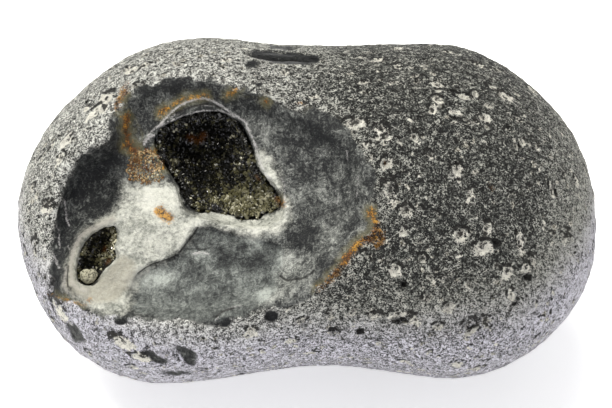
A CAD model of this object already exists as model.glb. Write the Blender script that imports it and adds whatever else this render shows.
"""Flint nodule: the finish of a sea-worn flint stone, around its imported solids.

The stone is one surface, drawn fine from its solid, with its rind's impact scars, the relief of the broken
face and a mask for each mineral on it. Crystals line its two vugs, and a worn chip of stone is caught in the
smaller one.

Places on the stone are given in its face frame, in millimetres: x along the stone, v up the broken face and w
straight out of it.
"""

import math
from functools import partial

import bmesh
import bpy
import numpy as np
from mathutils import Matrix, Vector, noise


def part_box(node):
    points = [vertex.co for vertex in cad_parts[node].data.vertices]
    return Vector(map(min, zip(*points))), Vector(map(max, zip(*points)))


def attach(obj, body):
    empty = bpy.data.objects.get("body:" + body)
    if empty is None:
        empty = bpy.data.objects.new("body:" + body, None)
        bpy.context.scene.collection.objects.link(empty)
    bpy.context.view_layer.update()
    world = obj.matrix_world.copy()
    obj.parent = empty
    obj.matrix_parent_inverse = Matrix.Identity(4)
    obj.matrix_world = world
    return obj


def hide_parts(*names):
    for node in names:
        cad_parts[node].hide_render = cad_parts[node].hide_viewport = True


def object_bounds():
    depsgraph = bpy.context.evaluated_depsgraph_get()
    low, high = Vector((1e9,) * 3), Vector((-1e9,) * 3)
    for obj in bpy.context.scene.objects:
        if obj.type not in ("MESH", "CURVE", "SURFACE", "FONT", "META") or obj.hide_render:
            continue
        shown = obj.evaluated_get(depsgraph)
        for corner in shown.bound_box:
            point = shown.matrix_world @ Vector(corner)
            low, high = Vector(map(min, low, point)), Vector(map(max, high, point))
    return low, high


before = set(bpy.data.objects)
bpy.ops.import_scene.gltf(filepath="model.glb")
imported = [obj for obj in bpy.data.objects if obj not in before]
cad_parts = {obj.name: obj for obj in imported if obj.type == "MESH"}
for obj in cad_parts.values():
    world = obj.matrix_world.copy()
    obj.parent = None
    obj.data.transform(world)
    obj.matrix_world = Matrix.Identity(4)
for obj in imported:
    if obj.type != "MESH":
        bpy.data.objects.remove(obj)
CAD_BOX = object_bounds()

bl_info = {
    "name": "Flint Nodule",
    "version": (1, 0, 0),
    "blender": (4, 5, 0),
    "location": "3D View > Sidebar > Flint",
    "description": "Builds a sea-worn flint nodule with crystal-lined vugs",
    "category": "Add Mesh",
}

MM = 0.001
SEED = 11

# The face frame: how far it is turned about X, and where its origin stands, in millimetres.
FACE_TURN = math.radians(45.0)
FACE_ORIGIN = (-0.086, -0.225, 29.757)
UP_THE_FACE = Vector((0.0, math.cos(FACE_TURN), math.sin(FACE_TURN)))
LEAN = 0.23  # how far the stone leans back along w for each millimetre up v

# Outlines on the face are closed curves through points (x, v), and paths are open ones.
BREAK_RIM = (
    *((-47.6, -15.5), (-48.0, -9.0), (-47.8, -3.5), (-46.3, 2.5), (-44.3, 7.4), (-41.8, 10.6)),
    *((-38.6, 12.9), (-36.4, 18.3), (-33.2, 22.6), (-29.4, 23.8), (-26.2, 24.9), (-22.6, 25.4)),
    *((-19.9, 24.9), (-17.0, 23.8), (-12.6, 22.6), (-8.5, 21.5), (-4.5, 20.2), (0.7, 19.1)),
    *((4.5, 18.5), (7.3, 15.7), (8.6, 13.4), (10.5, 11.1), (12.1, 7.7), (12.8, 4.7)),
    *((12.6, 1.0), (12.5, -3.0), (7.5, -8.8), (2.0, -14.8), (-4.0, -17.6), (-12.5, -20.2)),
    *((-20.0, -20.9), (-29.0, -20.4), (-35.0, -20.0), (-41.0, -19.0), (-45.5, -17.4)),
)
WHITE_COAT = (
    *((-34.4, 5.0), (-32.0, 4.8), (-29.4, 4.7), (-26.9, 4.9), (-24.2, 5.0), (-23.5, 2.4)),
    *((-22.9, 0.3), (-21.0, -0.9), (-19.0, -0.4), (-16.6, 0.4), (-14.4, -0.3), (-12.1, -1.3)),
    *((-9.8, -1.5), (-7.6, -0.4), (-5.2, 0.6), (-3.6, 2.0), (-2.8, 0.4), (-3.0, -1.4)),
    *((-4.4, -3.0), (-7.0, -4.0), (-10.6, -4.3), (-14.9, -3.6), (-18.0, -2.7), (-19.3, -2.7)),
    *((-20.6, -3.3), (-22.3, -5.8), (-24.0, -7.9), (-26.1, -9.2), (-29.4, -10.4), (-31.6, -12.3)),
    *((-32.6, -14.8), (-33.3, -18.1), (-34.7, -19.3), (-37.0, -19.7), (-39.2, -19.3), (-41.1, -18.1)),
    *((-43.0, -16.6), (-44.7, -15.1), (-45.7, -14.0), (-45.3, -11.3), (-44.7, -8.5), (-43.6, -6.2)),
    *((-41.7, -4.1), (-39.2, -2.4), (-37.3, -1.2), (-35.6, 0.1), (-34.5, 2.0), (-34.7, 3.5)),
)
LIP_MASS = (
    *((-9.2, 10.9), (-8.3, 11.1), (-6.9, 9.6), (-5.6, 7.5), (-4.8, 6.0), (-4.8, 4.1)),
    *((-6.0, 3.9), (-7.3, 5.2), (-8.5, 6.7), (-9.4, 8.6), (-9.8, 10.0)),
)
CREAM_COAT = (
    *((-34.1, -8.6), (-32.2, -10.2), (-32.6, -12.3), (-33.9, -15.1), (-35.8, -17.0), (-38.5, -17.6)),
    *((-41.1, -17.0), (-43.4, -16.2), (-44.9, -15.1), (-45.7, -14.2), (-45.3, -10.9), (-44.6, -8.3)),
    *((-43.4, -6.0), (-41.5, -3.9), (-39.2, -2.6), (-37.7, -2.2), (-39.2, -3.7), (-41.5, -5.2)),
    *((-43.0, -7.5), (-43.4, -10.9), (-43.2, -13.6), (-41.5, -14.7), (-39.4, -13.2), (-37.3, -10.9)),
    *((-35.6, -9.2),),
)
SLAB = (
    *((-19.3, -2.9), (-15.5, -4.1), (-10.5, -5.0), (-7.3, -6.0), (-4.8, -6.9), (-4.3, -9.8)),
    *((-5.6, -12.4), (-5.8, -15.1), (-8.5, -17.6), (-12.1, -20.0), (-17.2, -21.0), (-22.1, -20.8)),
    *((-27.6, -20.4), (-33.0, -18.5), (-34.1, -16.6), (-33.0, -14.2), (-32.0, -12.2), (-29.4, -10.4)),
    *((-25.9, -9.2), (-23.7, -7.7), (-20.6, -3.3)),
)
SLAB_LEDGE = (
    *((-4.8, -5.8), (-8.1, -5.8), (-10.5, -5.1), (-15.5, -4.1), (-19.3, -2.9), (-20.5, -3.4)),
    *((-22.1, -5.6), (-23.7, -7.7), (-25.9, -9.2), (-29.4, -10.4), (-32.0, -12.2), (-33.0, -14.2)),
    *((-34.1, -16.6), (-33.0, -18.5)),
)
DRUSE_PATCH = (
    *((-33.9, 8.5), (-33.5, 10.4), (-31.8, 11.5), (-29.7, 11.9), (-28.4, 11.5), (-27.3, 10.0)),
    *((-27.0, 7.7), (-27.2, 5.4), (-28.8, 4.9), (-31.3, 4.7), (-33.3, 5.8)),
)

# The mouths of the two vugs.
MOUTHS = (
    (
        *((-30.4, 12.6), (-28.4, 15.0), (-25.0, 16.8), (-20.0, 18.0), (-16.0, 17.9), (-12.6, 15.8)),
        *((-10.8, 12.0), (-9.4, 8.6), (-7.4, 5.8), (-4.8, 3.6), (-4.4, 0.6), (-6.0, -1.0)),
        *((-10.0, -2.2), (-14.0, -2.0), (-18.0, -0.6), (-20.8, 1.6), (-23.4, 4.4), (-27.2, 9.0)),
    ),
    (
        *((-36.2, -2.3), (-38.1, -3.5), (-39.7, -4.4), (-42.0, -6.4), (-42.8, -9.3), (-42.9, -12.4)),
        *((-41.8, -13.9), (-40.5, -13.5), (-38.0, -11.2), (-36.4, -9.4), (-36.0, -6.6), (-35.4, -3.6)),
    ),
)
# Raised lips and ridges: a path, how wide and how high it is, and its edge's tint, lilac at 0 and cream at 1.
LIPS = (
    (
        (
            *((-28.4, 15.5), (-27.0, 16.8), (-24.6, 19.3), (-21.4, 20.8), (-18.9, 21.0), (-16.4, 19.9)),
            *((-14.1, 18.3), (-11.7, 16.8), (-10.6, 14.4), (-9.4, 11.5), (-8.6, 8.6), (-7.0, 6.0)),
        ),
        *(0.4, 0.35, 0.0),
    ),
    (
        (
            *((-30.1, 13.8), (-28.6, 15.3), (-25.6, 16.8), (-23.3, 17.8), (-19.9, 18.6), (-16.1, 18.7)),
            *((-13.6, 17.6),),
        ),
        *(0.3, 0.3, 0.0),
    ),
    (((-25.9, 17.2), (-24.0, 18.5), (-22.1, 19.4), (-19.9, 19.8), (-17.8, 19.7)), 0.16, 0.12, 0.0),
    (((-30.6, 12.6), (-30.0, 13.4), (-28.9, 14.2)), 0.6, 0.45, 0.0),
    (((-4.8, 6.4), (-4.2, 5.0), (-4.1, 2.6), (-4.1, 0.1)), 0.2, 0.25, 0.5),
    (
        (
            *((-36.6, -1.6), (-39.2, -2.9), (-40.9, -3.7), (-42.6, -5.0), (-43.6, -6.7), (-44.1, -8.4)),
            *((-44.3, -10.0), (-44.3, -11.9), (-44.0, -13.8), (-43.0, -14.6), (-41.3, -15.0)),
        ),
        *(0.7, 0.6, 1.0),
    ),
    (((-45.1, -10.5), (-45.5, -12.4), (-45.6, -14.2), (-44.9, -15.4)), 0.5, 0.4, 0.8),
    (((-17.1, -20.6), (-16.1, -19.3), (-14.7, -18.4), (-13.4, -18.0), (-12.0, -17.8)), 0.18, 0.25, 0.3),
    (((-48.5, -2.1), (-46.9, -3.5), (-46.6, -6.2), (-46.5, -6.9)), 0.24, 0.1, 0.0),
    (((-45.7, 1.8), (-45.4, 0.1), (-45.2, -2.0), (-44.6, -2.8)), 0.3, 0.05, 0.0),
    (((-47.8, -8.1), (-47.0, -10.0), (-46.6, -10.9)), 0.34, 0.1, 0.0),
    (((-44.9, -6.7), (-44.5, -8.0)), 0.16, 0.05, 0.0),
    (((7.6, 11.4), (7.8, 9.3)), 0.14, 0.05, 0.0),
    (((9.8, 6.6), (9.6, 4.5), (9.4, 2.6)), 0.13, 0.05, 0.0),
    (((5.2, 3.9), (6.0, 2.9), (5.8, 1.4)), 0.1, 0.05, 0.2),
    (((-21.6, -8.2), (-19.9, -7.9), (-18.3, -8.2)), 0.35, 0.15, 0.1),
)
# Cracks: a path, how wide and how deep it is.
CRACKS = (
    (((-4.9, -12.3), (-3.7, -13.1), (-2.3, -12.9), (-0.8, -12.7), (0.7, -11.9), (1.4, -11.3)), 0.2, 0.4),
    (((-22.7, -7.3), (-21.0, -7.2), (-19.3, -7.3), (-17.9, -6.9)), 0.12, 0.2),
    (((-31.8, -11.9), (-29.4, -10.3), (-25.9, -9.1), (-24.6, -8.4)), 0.13, 0.2),
    (((-20.4, -3.2), (-22.2, -5.7), (-23.8, -7.8)), 0.16, 0.2),
    (((-36.4, 18.8), (-35.0, 20.8), (-33.4, 23.4)), 0.16, 0.3),
    (((-44.8, -10.4), (-45.0, -12.4), (-44.9, -14.4)), 0.14, 0.2),
    (((-24.6, 18.2), (-21.4, 19.6), (-18.2, 20.0), (-16.2, 19.3)), 0.18, 0.25),
    (((-16.9, -19.9), (-15.6, -18.9), (-13.6, -18.3)), 0.2, 0.25),
)
# Iron stains: a path and its half width. A negative half width leaves only a faint stain.
RUST = (
    (((12.3, -0.2), (13.1, -2.9), (12.6, -5.0), (10.4, -5.8), (8.2, -8.2), (6.0, -11.3), (4.4, -12.8)), 0.85),
    (((4.8, -12.4), (2.0, -14.9)), 0.45),
    (((13.6, -4.1), (13.8, -5.6), (13.2, -6.6)), 0.8),
    (((-33.7, 23.7), (-35.4, 20.8), (-36.0, 19.3)), 0.6),
    (((-34.1, 17.6), (-33.9, 14.3), (-33.3, 11.9), (-31.8, 10.5)), 0.7),
    (((-33.9, 12.1), (-32.4, 11.5)), 1.0),
    (((-27.5, 18.6), (-26.2, 19.2), (-24.3, 20.3), (-22.1, 21.2), (-18.9, 21.5)), 0.45),
    (((-27.3, 18.5), (-26.4, 19.2)), 0.75),
    (((-14.9, 21.6), (-14.3, 22.1), (-13.1, 22.7)), 0.5),
    (((-27.6, -0.1), (-26.9, -0.8), (-26.0, -1.3)), 1.25),
    (((-7.9, 20.5), (-7.5, 20.2)), 0.35),
    (((-1.2, 20.1), (-0.3, 20.0)), 0.4),
    (((34.4, 4.5), (34.7, 4.2)), 0.45),
    (((-40.9, -16.8), (-40.6, -16.9)), 0.35),
    (((-28.0, 11.4), (-26.9, 10.0), (-26.7, 8.0)), 0.5),
    (((-4.5, 1.2), (-5.2, 2.0)), 0.6),
    (((14.8, 9.0), (15.0, 8.7)), 0.35),
    (((-48.7, -15.9), (-46.8, -16.2), (-44.6, -17.0), (-41.5, -17.8)), 0.15),
    (((-32.4, 17.0), (-31.2, 14.5), (-31.0, 12.5)), -0.7),
    (((-12.0, 21.5), (-7.0, 20.8), (-2.0, 20.0)), -0.9),
)
# Lighter and darker clouds in the flint: centre, half sizes, and how far they lift it.
CLOUDS = (
    ((-20.0, 23.5), (15.0, 3.0), -0.5),
    ((-37.5, 12.5), (4.5, 4.5), -0.3),
    ((1.5, 16.0), (6.5, 4.0), -0.5),
    ((6.5, 10.5), (4.0, 4.0), -0.3),
    ((-40.0, 5.0), (6.0, 8.0), -0.55),
    ((-46.5, -6.0), (2.5, 7.0), -0.7),
    ((-47.2, -14.0), (1.9, 1.7), -1.0),
    ((-44.8, 0.0), (1.2, 3.0), 0.5),
    ((-47.4, -7.2), (1.1, 0.9), 1.3),
    ((-0.8, -5.4), (2.8, 2.4), -1.0),
    ((-9.0, -4.6), (6.0, 1.4), 0.9),
    ((-2.4, 1.8), (1.6, 3.2), 0.8),
    ((4.0, 6.0), (5.0, 7.0), 0.15),
    ((-13.5, -7.0), (5.0, 2.5), -0.35),
    ((-11.5, -12.0), (4.0, 4.0), -0.2),
    ((2.6, -9.5), (4.2, 4.6), 0.25),
    ((-3.2, -9.9), (1.9, 2.5), 1.5),
    ((-7.6, -16.2), (2.4, 1.6), 1.6),
    ((-3.0, -15.0), (2.6, 1.8), 1.1),
    ((10.6, -3.5), (1.0, 0.9), 1.3),
    ((3.2, -2.4), (0.9, 0.4), 0.9),
    ((-7.5, 13.0), (2.6, 4.0), 0.35),
    ((-4.0, 7.5), (2.6, 3.2), 0.4),
    ((-28.0, -12.7), (3.6, 1.7), 1.5),
    ((-20.0, -8.6), (1.8, 0.7), 0.9),
    ((-24.5, -17.0), (6.0, 2.2), 0.2),
    ((-16.0, -20.4), (2.4, 1.2), -0.6),
    ((-31.5, 14.5), (1.8, 2.2), 0.35),
    ((-28.0, 2.8), (4.5, 2.6), 0.9),
)
# Impact scars: x, v, half length, half width, turn in degrees, depth, cream and darkness. Cream goes from 0
# to 1.3, for the freshest chips, and darkness from 0 to 1, for a deep hole.
SCARS = (
    *((29.5, 21.2, 1.1, 0.6, 5.0, 0.4, 1.0, 0.0), (27.8, 22.6, 0.9, 0.4, 10.0, 0.6, 0.0, 1.0)),
    *((37.8, 21.3, 1.3, 0.7, -25.0, 0.4, 1.0, 0.0), (35.4, 23.0, 1.0, 0.5, -35.0, 0.35, 1.0, 0.0)),
    *((36.6, 22.2, 0.5, 0.9, -10.0, 0.35, 0.9, 0.0), (31.8, 21.9, 0.6, 0.7, 20.0, 0.4, 0.9, 0.0)),
    *((23.7, 19.0, 0.6, 1.1, -15.0, 0.4, 0.9, 0.0), (25.6, 19.6, 0.35, 0.5, 0.0, 0.6, 0.0, 1.0)),
    *((27.8, 18.5, 1.1, 0.35, 0.0, 0.3, 1.0, 0.0), (27.7, 17.4, 0.9, 0.35, -5.0, 0.6, 0.0, 1.0)),
    *((27.6, 16.7, 0.5, 0.25, 0.0, 0.3, 1.0, 0.0), (34.2, 19.6, 0.6, 0.4, -10.0, 0.35, 0.8, 0.3)),
    *((14.4, 13.5, 1.6, 0.4, 2.0, 0.4, 1.0, 0.0), (11.3, 12.2, 0.55, 0.4, 20.0, 0.3, 1.0, 0.0)),
    *((14.9, 8.8, 0.8, 0.9, 10.0, 0.55, 0.9, 0.3), (38.1, 15.1, 0.8, 0.3, 10.0, 0.4, 0.8, 0.0)),
    *((38.1, 15.8, 0.7, 0.3, 10.0, 0.6, 0.0, 0.9), (39.2, 12.3, 0.35, 0.9, 10.0, 0.5, 0.8, 0.0)),
    *((39.9, 12.4, 0.4, 0.6, 10.0, 0.6, 0.0, 0.9), (28.3, 7.4, 0.9, 0.9, 70.0, 0.45, 0.9, 0.0)),
    *((28.0, 8.8, 0.6, 0.35, 0.0, 0.5, 0.0, 0.9), (34.6, 4.3, 0.5, 0.6, 0.0, 0.4, 0.0, 0.5)),
    *((13.6, 28.2, 1.0, 0.5, 0.0, 0.35, 0.7, 0.0), (20.3, 25.2, 0.9, 0.4, 15.0, 0.35, 0.8, 0.0)),
    *((24.5, 23.6, 0.9, 0.5, -20.0, 0.4, 1.0, 0.0), (10.4, 24.0, 1.0, 0.4, 10.0, 0.4, 0.8, 0.2)),
    *((10.9, 22.1, 0.9, 0.4, 0.0, 0.35, 0.7, 0.0), (16.3, 24.1, 0.9, 0.4, 20.0, 0.4, 0.8, 0.0)),
    *((26.6, 30.0, 1.1, 0.4, -10.0, 0.3, 0.8, 0.0), (32.3, 27.9, 0.8, 0.6, -40.0, 0.35, 0.8, 0.0)),
    *((46.2, 3.7, 0.4, 1.4, 10.0, 0.4, 1.0, 0.0), (47.0, 3.3, 0.35, 1.1, 10.0, 0.6, 0.0, 1.0)),
    *((51.0, 5.6, 0.5, 1.0, 10.0, 0.5, 0.9, 0.2), (18.6, -0.3, 1.0, 0.9, 30.0, 0.5, 0.8, 0.3)),
    *((34.0, -3.6, 0.7, 1.1, -10.0, 0.4, 0.9, 0.2), (33.0, -7.2, 1.5, 1.0, 20.0, 0.45, 1.0, 0.0)),
    *((35.6, -6.3, 1.0, 0.6, -30.0, 0.6, 0.0, 1.0), (33.6, -4.4, 0.5, 0.4, 0.0, 0.5, 0.0, 0.9)),
    *((40.0, -6.1, 0.5, 2.0, 5.0, 0.45, 1.0, 0.0), (39.4, -3.9, 0.4, 0.6, 5.0, 0.5, 0.0, 0.8)),
    *((41.1, -11.0, 0.7, 0.9, 15.0, 0.4, 1.0, 0.0), (41.6, -12.4, 0.9, 0.6, -20.0, 0.55, 0.0, 1.0)),
    *((37.6, -11.7, 0.9, 1.0, 0.0, 0.4, 1.0, 0.0), (42.5, -9.8, 0.5, 1.0, 20.0, 0.4, 0.8, 0.2)),
    *((16.6, -11.3, 0.9, 0.9, -35.0, 0.4, 1.0, 0.0), (18.2, -13.9, 0.6, 0.6, 20.0, 0.6, 0.0, 1.0)),
    *((38.5, -16.0, 0.5, 1.2, 10.0, 0.4, 1.0, 0.0), (39.1, -17.4, 0.7, 0.4, 0.0, 0.5, 0.0, 0.9)),
    *((17.4, -19.6, 1.8, 0.5, 10.0, 0.4, 1.0, 0.0), (17.6, -20.6, 1.5, 0.7, 10.0, 0.6, 0.0, 0.7)),
    *((20.4, -20.9, 0.7, 0.9, 30.0, 0.4, 0.9, 0.0), (10.0, -22.5, 0.9, 0.6, 10.0, 0.55, 0.0, 1.0)),
    *((30.7, -22.9, 1.2, 0.5, 30.0, 0.45, 0.9, 0.0), (31.0, -21.9, 0.9, 0.5, 30.0, 0.45, 0.0, 0.7)),
    *((33.7, -21.0, 0.8, 0.9, 0.0, 0.45, 0.8, 0.5), (26.9, -18.3, 1.0, 0.7, 15.0, 0.45, 0.8, 0.3)),
    *((12.8, -19.8, 0.9, 0.6, 20.0, 0.45, 0.8, 0.2), (12.4, -19.0, 0.6, 0.3, 20.0, 0.5, 0.0, 0.9)),
    *((5.0, -22.9, 1.1, 0.4, 0.0, 0.45, 0.6, 0.0), (5.0, -22.2, 1.1, 0.5, 0.0, 0.5, 0.0, 0.8)),
    *((8.8, -19.1, 0.8, 0.6, 30.0, 0.45, 0.7, 0.3), (-1.0, -20.6, 0.8, 0.5, 30.0, 0.45, 0.8, 0.0)),
    *((22.6, -16.4, 0.8, 0.7, 0.0, 0.4, 0.7, 0.4), (24.6, -21.8, 0.9, 0.6, 10.0, 0.4, 0.8, 0.3)),
    *((15.6, 3.4, 0.9, 1.8, 10.0, 0.3, 0.6, 0.0), (30.6, 3.0, 0.6, 1.2, -20.0, 0.3, 0.8, 0.0)),
    *((18.0, -4.0, 0.5, 0.8, 0.0, 0.4, 0.9, 0.2), (9.0, 16.2, 1.6, 1.1, 0.0, 0.3, 0.8, 0.0)),
    *((-37.9, 21.0, 1.1, 1.5, -10.0, 0.3, 1.2, 0.0), (-38.5, 18.9, 0.8, 0.6, 0.0, 0.3, 1.1, 0.0)),
    *((-40.2, 18.5, 0.9, 1.4, -40.0, 0.3, 1.2, 0.0), (-45.3, 13.0, 0.8, 1.3, -35.0, 0.3, 1.2, 0.0)),
    *((-46.5, 9.6, 0.8, 1.1, -20.0, 0.35, 0.8, 0.0), (-33.3, 26.3, 1.1, 0.8, 0.0, 0.3, 1.1, 0.0)),
    *((-46.6, 14.2, 0.5, 0.4, 0.0, 0.5, 0.0, 1.0), (-48.9, 0.4, 0.9, 1.0, 0.0, 0.3, 1.2, 0.0)),
    *((-50.9, 2.6, 0.6, 0.8, 0.0, 0.35, 0.9, 0.0), (-51.4, -7.5, 0.9, 1.4, 0.0, 0.3, 0.6, 0.0)),
    *((-25.0, 27.8, 0.5, 0.6, 0.0, 0.35, 0.8, 0.0), (-41.8, 20.6, 0.9, 0.4, 45.0, 0.6, 0.0, 0.9)),
    *((-15.0, 28.4, 0.8, 0.6, -20.0, 0.3, 1.0, 0.0), (-30.6, 27.4, 0.7, 0.6, 0.0, 0.35, 1.0, 0.0)),
    (-7.6, 22.2, 1.1, 0.5, -30.0, 0.3, 0.6, 0.0),
    *((-48.0, -20.5, 0.9, 0.6, 30.0, 0.4, 0.6, 0.3), (-34.4, -25.0, 1.7, 1.0, -20.0, 0.3, 1.3, 0.0)),
    *((-30.9, -27.6, 1.3, 0.8, 0.0, 0.3, 1.3, 0.0), (-36.0, -23.4, 0.8, 0.5, 0.0, 0.4, 0.9, 0.0)),
    *((-3.0, -24.5, 1.0, 0.6, 20.0, 0.4, 0.8, 0.2), (-46.3, -19.6, 2.4, 1.2, -45.0, 0.1, 0.75, 0.0)),
    *((-47.5, -14.0, 1.6, 1.3, 40.0, 0.6, 0.0, 0.8), (-4.7, 6.3, 0.4, 0.3, 0.0, 0.5, 0.0, 1.0)),
)
# Flakes struck off the rind, which bare the flint: x, v, half length, half width, turn in degrees, and how
# far they lift its tone.
FLAKES = (
    *((-4.2, 28.8, 7.2, 1.5, -7.0, -1.4), (-4.5, 30.9, 2.8, 0.6, -4.0, -1.4)),
    (-10.3, 27.4, 1.5, 0.7, 12.0, -0.9),
    *((-43.7, -23.0, 2.5, 0.95, -50.0, -0.5), (-28.5, -27.4, 2.7, 0.85, -33.0, -0.5)),
    *((-22.6, -27.3, 2.9, 1.2, -42.0, -0.6), (-24.6, -30.5, 2.8, 0.45, 2.0, -0.5)),
    *((-6.4, -19.8, 1.3, 1.1, 20.0, -1.4), (-8.9, 23.2, 0.65, 0.5, 0.0, -1.2)),
    *((-15.4, -20.9, 1.7, 0.8, 15.0, -0.8), (-34.9, -20.6, 1.4, 0.7, -15.0, -1.0)),
)
FLAKE_REACH = 6.0  # how far a flake reaches along w

# Where the white coat overhangs a vug, its crystals start this much deeper: the large one, then the small.
COAT_OVERHANG = (2.5, 0.2)
# Crystals: how long and how wide the small and the large ones are, and how far they lean from the wall.
CRYSTAL_LENGTH = (0.4, 1.4)
CRYSTAL_WIDTH = (0.26, 0.8)
CRYSTAL_TILT = 0.5
RUSTY_DRUSE = {"count": 900, "length": (0.25, 0.7), "width": (0.2, 0.45)}
# Lighter and darker clouds among the crystals: centre, half sizes, and how far they lift them.
CRYSTAL_CLOUDS = (
    ((-8.5, 1.0), (6.0, 3.6), 0.65),
    ((-14.0, 1.0), (5.0, 3.0), 0.35),
    ((-18.0, 17.0), (8.0, 5.0), -0.35),
    ((-26.0, 5.0), (5.0, 7.0), -0.3),
    ((-25.0, 9.0), (0.7, 0.6), 1.5),
    ((-35.8, -6.5), (1.7, 3.4), 1.5),
    ((-41.8, -7.7), (0.9, 0.8), 1.4),
    ((-39.0, -8.6), (1.6, 1.2), 0.9),
)
# Iron stains among the crystals: a path and its half width.
CRYSTAL_RUST = (
    (((-22.1, 13.8), (-20.6, 13.2), (-19.5, 14.2)), 0.7),
    (((-5.2, 2.2), (-4.4, 1.0)), 0.8),
    (((-9.5, 6.4), (-9.0, 5.8)), 0.2),
    (((-38.2, -7.6), (-38.0, -7.0)), 0.3),
    (((-37.6, -9.9), (-37.2, -9.4)), 0.2),
)
# Small scars strewn over the rind: how many, and the least and greatest half length, width for their length,
# depth and cream. Of those with a half length under dark_length, dark_share are dark holes.
STREWN_SCARS = {
    "count": 700,
    "half_length": (0.3, 1.15),
    "narrowness": (0.4, 0.9),
    "depth": (0.2, 0.5),
    "cream": (0.5, 1.0),
    "dark_share": 0.35,
    "dark_length": 0.55,
}
# How readily the stone's mesh is thinned on its front and its back, and how much less on the broken face,
# which needs the finest mesh.
THINNING = {"front": 0.3, "back": 0.6, "less_if_broken": 0.25}


# --- Small tools ---------------------------------------------------------------------------------


def linear(colour):
    """An sRGB hex colour as linear red, green, blue and alpha."""
    parts = [int(colour[i : i + 2], 16) / 255 for i in (1, 3, 5)]
    return (*[p / 12.92 if p <= 0.04045 else ((p + 0.055) / 1.055) ** 2.4 for p in parts], 1.0)


def eased(share):
    share = np.clip(share, 0.0, 1.0)
    return share * share * (3 - 2 * share)


def to_face(points):
    """World points in metres, as x, v and w in millimetres."""
    x, y, z = (points / MM - FACE_ORIGIN).T
    cos, sin = math.cos(FACE_TURN), math.sin(FACE_TURN)
    return np.stack([x, cos * y + sin * z, cos * z - sin * y], axis=1)


def smooth_curve(points, closed, steps=8):
    """A smooth curve through the points, as an array."""
    points = np.array(points, float)
    if closed:
        around = np.concatenate([points[-1:], points, points[:2]])
    else:
        around = np.concatenate([2 * points[:1] - points[1:2], points, 2 * points[-1:] - points[-2:-1]])
    a, b, c, d = around[:-3], around[1:-2], around[2:-1], around[3:]
    t = (np.arange(steps) / steps)[:, None, None]
    curve = b + 0.5 * t * (c - a + t * (2 * a - 5 * b + 4 * c - d + t * (3 * (b - c) + d - a)))
    curve = curve.transpose(1, 0, 2).reshape(-1, 2)
    return curve if closed else np.concatenate([curve, points[-1:]])


def distance_to(path, spots, reach, closed=False):
    """How far each spot is from a curve, or reach where it is further."""
    curve = smooth_curve(path, closed)
    distance = np.full(len(spots), float(reach))
    near = np.flatnonzero(((spots > curve.min(0) - reach) & (spots < curve.max(0) + reach)).all(axis=1))
    starts, ends = (curve, np.roll(curve, -1, axis=0)) if closed else (curve[:-1], curve[1:])
    run = ends - starts
    length = np.maximum((run**2).sum(axis=1), 1e-9)
    for some in np.array_split(near, len(near) // 4000 + 1):
        gap = spots[some, None] - starts
        gap -= np.clip((gap * run).sum(axis=2) / length, 0, 1)[..., None] * run
        distance[some] = np.minimum(reach, np.sqrt((gap**2).sum(axis=2).min(axis=1)))
    return distance


def inside(outline, spots, reach):
    """How far each spot lies inside a closed outline, and negative outside, both up to reach."""
    curve = smooth_curve(outline, True)
    following = np.roll(curve, -1, axis=0)
    crossings = np.zeros(len(spots), int)
    for low, high in zip(curve, following):
        spans = (low[1] > spots[:, 1]) != (high[1] > spots[:, 1])
        at = low[0] + (spots[spans, 1] - low[1]) * (high[0] - low[0]) / (high[1] - low[1])
        crossings[spans] += at > spots[spans, 0]
    return np.where(crossings % 2 == 1, 1.0, -1.0) * distance_to(outline, spots, reach, closed=True)


def lumps(points, size, octaves=1, shift=0.0):
    """Smooth noise at points in millimetres, from about -1 to 1, with lumps of this size."""
    places = (points / size + shift).tolist()
    return np.array([noise.fractal(place, 1.0, 2.0, octaves) for place in places])


def points_of(mesh):
    points = np.empty(len(mesh.vertices) * 3, np.float32)
    mesh.vertices.foreach_get("co", points)
    return points.reshape(-1, 3).astype(float)


def normals_of(mesh):
    normals = np.empty(len(mesh.vertices) * 3, np.float32)
    mesh.vertex_normals.foreach_get("vector", normals)
    return normals.reshape(-1, 3).astype(float)


def move_points(mesh, points):
    mesh.vertices.foreach_set("co", points.astype(np.float32).ravel())
    mesh.update()


def paint(mesh, name, values):
    """Keeps a number for each vertex under this name."""
    layer = mesh.attributes.get(name) or mesh.attributes.new(name, "FLOAT", "POINT")
    layer.data.foreach_set("value", np.asarray(values, np.float32))


def node_mesh(name):
    """A bmesh of a CAD node, with its loose triangles joined."""
    bm = bmesh.new()
    bm.from_mesh(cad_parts[name].data)
    bmesh.ops.remove_doubles(bm, verts=bm.verts, dist=0.001 * MM)
    return bm


def new_object(name, bm):
    mesh = bpy.data.meshes.new(name)
    bm.to_mesh(mesh)
    bm.free()
    obj = bpy.data.objects.new(name, mesh)
    bpy.context.scene.collection.objects.link(obj)
    return obj


def apply_modifiers(obj):
    """Gives an object the mesh that its modifiers make."""
    graph = bpy.context.evaluated_depsgraph_get()
    plain = obj.data
    obj.data = bpy.data.meshes.new_from_object(obj.evaluated_get(graph))
    obj.modifiers.clear()
    bpy.data.meshes.remove(plain)
    obj.data.name = obj.name


def finish_piece(obj, material, slot, *nodes):
    """Gives a piece its material, hangs it on the object, and names its slot and the nodes it stands for."""
    obj.data.materials.clear()
    obj.data.materials.append(material)
    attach(obj, "root")
    if nodes:
        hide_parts(*nodes)


def add_node(tree, kind, inputs, output=0, **settings):
    """Adds a node with these settings and input values or links, and returns one of its outputs."""
    node = tree.nodes.new("ShaderNode" + kind)
    for name, value in settings.items():
        setattr(node, name, value)
    for key, value in inputs.items():
        if isinstance(value, bpy.types.NodeSocket):
            tree.links.new(value, node.inputs[key])
        else:
            node.inputs[key].default_value = value
    return node.outputs[output]


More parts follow.
